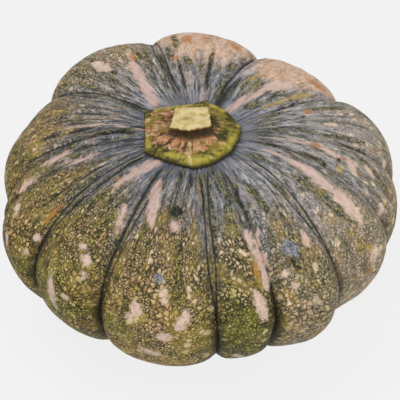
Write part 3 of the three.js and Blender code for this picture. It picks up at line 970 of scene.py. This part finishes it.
def marks_on_skin(f, p, skin):
    """Pale streaks and blobs, crackled patches of wax, and yellow, orange and dark marks."""
    pale = f.step(f.add(f.attribute("pale"), f.times(p.rough_edge, 1.2)), -0.20, 0.40)
    streaked = f.add(p.speckle, f.times(p.thin_streak, 0.8))
    pale = f.times(pale, f.step(streaked, 0.02, 0.24, 0.95, 0.5))
    pale = f.times(pale, f.step(f.add(p.patchy, p.mottle), -0.30, -0.02, 0.6, 1.0))
    creamier = f.step(f.add(p.along, f.times(p.patchy, 0.2)), 0.2, 0.42)
    pink = f.mix(creamier, PINK, CREAM_PINK)
    duller = f.step(f.add(p.streak, f.times(p.mottle, 0.6)), 0.02, 0.2, 0.0, 0.65)
    pink = f.mix(duller, pink, PINKISH)
    pink = f.mix(f.step(p.thin_streak, -0.06, -0.22, 0.0, 0.5), pink, PALE_SLATE)
    skin = f.mix(pale, skin, pink)
    patch = f.step(f.add(f.attribute("wax"), p.rough_edge), -0.2, 0.3, 0.0, 0.75)
    skin = f.mix(patch, skin, f.mix(f.step(p.speckle, -0.04, 0.10), WAX, DARK_SLATE_AND_CREASE_SHADE))
    crumbly = f.step(f.add(p.speckle, p.mottle), -0.12, 0.14, 0.7, 1.0)
    for name, tint, strength in MARK_TINTS:
        mark = f.add(f.attribute(name), f.times(p.rough_edge, 0.7))
        mark = f.step(mark, -0.05, 0.22, 0.0, strength)
        skin = f.mix(f.times(mark, crumbly), skin, tint)
    return skin


def skin_finish():
    """Waxy rind: a fine dark green net and pale dots on buff, with bloom and marks over them."""
    f = Finish("waxy_skin")
    p = skin_patterns(f)
    skin = ground(f, p)
    for layer in (peach_flush, cells_and_spots, net_lines, waxy_bloom, dashes_on_bloom,
                  groove_lines, marks_on_skin):
        skin = layer(f, p, skin)
    f.put(f.shader.inputs["Base Color"], skin)
    f.put(f.shader.inputs["Roughness"], f.step(p.mottle, -0.2, 0.2, 0.42, 0.62))
    f.shader.inputs["Specular IOR Level"].default_value = 0.2
    height = f.add(f.times(p.streak, 1.4), f.times(p.speckle, 0.6))
    height = f.subtract(height, f.times(p.on_net, 0.3))
    f.put(f.shader.inputs["Normal"], f.bump(height, SKIN_RELIEF * MM, 0.7))
    return f.material


# The stalk
STALK_RELIEF = 0.8
STALK_GREEN = colour("6f651e")
# Dark green of the stalk's flesh; also the painted shade at the foot's rim
STALK_DARK_AND_FOOT_SHADE = colour("383311")
STALK_LIGHT = colour("aa9f58")
# Painted highlight on the skirt's bulge, a brighter yellow-green
SKIRT_HIGHLIGHT = colour("a09239")
CORK = colour("7d5228")
CORK_SALMON = colour("b37d57")
# Dark cork streaks; also the painted shadow under the cut face
CORK_DARK_AND_NECK_SHADOW = colour("2f200d")
CORK_PALE = colour("c0a888")
STRAW = colour("b6a361")
# Pale straw of the cut face; also the painted highlight along the stalk's ribs
STRAW_PALE_AND_RIB_HIGHLIGHT = colour("d0bf90")


def stalk_finish():
    """Cork and dry green flesh, ribbed along the fibres, with a pale straw cut face."""
    f = Finish("corky_stalk")
    fibre = f.attribute("fibre", "Vector")
    swayed = f.warped(fibre, 0.15, 4.0)
    drawn = f.vector_math("MULTIPLY", swayed, (1.0, 1.0, 0.6))
    fibres = f.about_zero(f.noise(drawn, 0.36, 4.0, 0.65))
    place = f.warped(f.attribute("place", "Vector"), 0.25, 2.5)
    blotch = f.about_zero(f.noise(place, 0.10, 3.0, 0.6))
    patches = f.about_zero(f.noise(place, 0.24, 4.0, 0.65))
    fine = f.about_zero(f.noise(fibre, 1.1, 3.0, 0.6))

    # Green flesh, with a painted highlight round the middle of the skirt, where it bulges towards the
    # light
    body = f.mix(f.step(f.add(blotch, f.times(patches, 0.5)), -0.12, 0.06), STALK_DARK_AND_FOOT_SHADE, STALK_GREEN)
    lit = f.times(f.attribute("skirt"), f.step(f.add(blotch, f.times(patches, 0.6)), -0.14, 0.08))
    body = f.mix(lit, body, SKIRT_HIGHLIGHT)
    body = f.mix(f.step(f.add(fibres, patches), 0.06, 0.22, 0.0, 0.7), body, STALK_LIGHT)

    # Cork above the skirt
    cork = f.mix(f.step(patches, -0.10, 0.12), CORK, CORK_SALMON)
    cork = f.mix(f.step(f.add(fibres, f.times(patches, 0.6)), 0.02, -0.12, 0.0, 0.9), cork, CORK_DARK_AND_NECK_SHADOW)
    cork = f.mix(f.step(f.add(fibres, fine), 0.04, 0.16, 0.0, 0.85), cork, CORK_PALE)
    cork = f.mix(f.step(f.subtract(blotch, patches), 0.0, 0.10, 0.0, 0.85), cork, STALK_GREEN)
    corky = f.add(f.attribute("corky"), f.add(f.times(blotch, 1.8), f.times(patches, 1.2)))
    corky = f.add(corky, f.times(fibres, 1.2))
    body = f.mix(f.step(corky, 0.34, 0.62, 0.0, 0.92), body, cork)
    # Painted shadow: the neck under the cut face's overhang darkened to dark brown
    shaded = f.add(f.attribute("neck"), f.add(f.times(patches, 1.2), f.times(fibres, 0.8)))
    body = f.mix(f.step(shaded, 0.35, 0.85, 0.0, 0.9), body, CORK_DARK_AND_NECK_SHADOW)
    # Pale dots down the front rib, with painted highlight along the ribs' tops
    ridge = f.add(f.attribute("rib"), f.times(fine, 2.6))
    body = f.mix(f.step(ridge, 0.45, 0.95, 0.0, 0.45), body, STRAW_PALE_AND_RIB_HIGHLIGHT)
    # Painted shade: the foot's rim darkened where it curves under, down to the skin
    foot = f.add(f.attribute("foot"), f.times(patches, 1.2))
    body = f.mix(f.step(foot, 0.1, 0.9, 0.0, 0.9), body, STALK_DARK_AND_FOOT_SHADE)

    # Cut face
    pith = f.about_zero(f.noise(fibre, 0.9, 4.0, 0.7))
    pores = f.about_zero(f.noise(place, 0.30, 4.0, 0.6))
    face = f.mix(f.step(f.add(f.times(pith, 0.5), pores), -0.12, 0.12), STRAW, STRAW_PALE_AND_RIB_HIGHLIGHT)
    face = f.mix(f.step(pores, -0.10, -0.22, 0.0, 0.4), face, CORK)
    body = f.mix(f.attribute("cap"), body, face)
    f.put(f.shader.inputs["Base Color"], body)
    f.shader.inputs["Roughness"].default_value = 0.7
    f.shader.inputs["Specular IOR Level"].default_value = 0.25
    pitted = f.times(f.times(f.attribute("cap"), pores), 1.5)
    relief = f.add(f.add(fibres, f.times(fine, 0.5)), pitted)
    f.put(f.shader.inputs["Normal"], f.bump(relief, STALK_RELIEF * MM, 0.8))
    return f.material


def floor_finish():
    """A pale sheet lit so evenly that only a faint shadow shows on it."""
    f = Finish("pale_floor")
    f.shader.inputs["Base Color"].default_value = (0.06, 0.06, 0.06, 1.0)
    f.shader.inputs["Roughness"].default_value = 1.0
    f.shader.inputs["Specular IOR Level"].default_value = 0.0
    f.shader.inputs["Emission Color"].default_value = (1.0, 1.0, 1.0, 1.0)
    f.shader.inputs["Emission Strength"].default_value = 0.823
    return f.material


# Floor, light and camera

def make_floor():
    deselect_all()
    bpy.ops.mesh.primitive_plane_add(size=FLOOR_SIZE, location=(0, 0, 0))
    floor = bpy.context.active_object
    floor.name = "studio_floor"
    floor.visible_diffuse = False
    floor.visible_glossy = False
    floor.data.materials.append(floor_finish())


def add_softbox(name, place, size, power):
    """A square softbox in metres, aimed at the squash."""
    light = bpy.data.lights.new(name, "AREA")
    light.size = size
    light.energy = power
    lamp = bpy.data.objects.new(name, light)
    lamp.location = place
    lamp.rotation_euler = (Vector((0, 0, 0.05)) - Vector(place)).to_track_quat("-Z", "Y").to_euler()
    bpy.context.scene.collection.objects.link(lamp)


def make_light():
    add_softbox("key", (-0.35, 0.1, 1.3), 0.9, 9.6)
    add_softbox("fill", (1.3, -0.65, 0.85), 1.2, 7.0)
    add_softbox("front", (-0.3, -1.2, 0.5), 0.9, 4.5)
    world = bpy.data.worlds.new("studio")
    world.use_nodes = True
    world.node_tree.nodes["Background"].inputs["Color"].default_value = (1.0, 1.0, 1.0, 1.0)
    world.node_tree.nodes["Background"].inputs["Strength"].default_value = 0.58
    bpy.context.scene.world = world


def make_camera():
    lens = bpy.data.cameras.new("camera")
    lens.lens = CAMERA_LENS
    lens.sensor_width = SENSOR_WIDTH
    lens.clip_start = 0.01
    camera = bpy.data.objects.new("camera", lens)
    angle = math.radians(CAMERA_HEIGHT_ANGLE)
    back = Vector((0, -math.cos(angle), math.sin(angle)))
    up = Vector((0, math.sin(angle), math.cos(angle)))
    place = AXIS + CAMERA_DISTANCE * back
    aim = AXIS - CAMERA_AIM_BELOW * up
    camera.location = place * MM
    camera.rotation_euler = (aim - place).to_track_quat("-Z", "Y").to_euler()
    bpy.context.scene.collection.objects.link(camera)
    bpy.context.scene.camera = camera
    bpy.context.scene.view_settings.view_transform = "Standard"


make_camera()
make_floor()
make_light()

fruit = make_fruit()
fruit.data.materials.append(skin_finish())
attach(fruit, "root")
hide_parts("fruit")

stalk = make_stalk()
stalk.data.materials.append(stalk_finish())
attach(stalk, "root")
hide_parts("stalk")
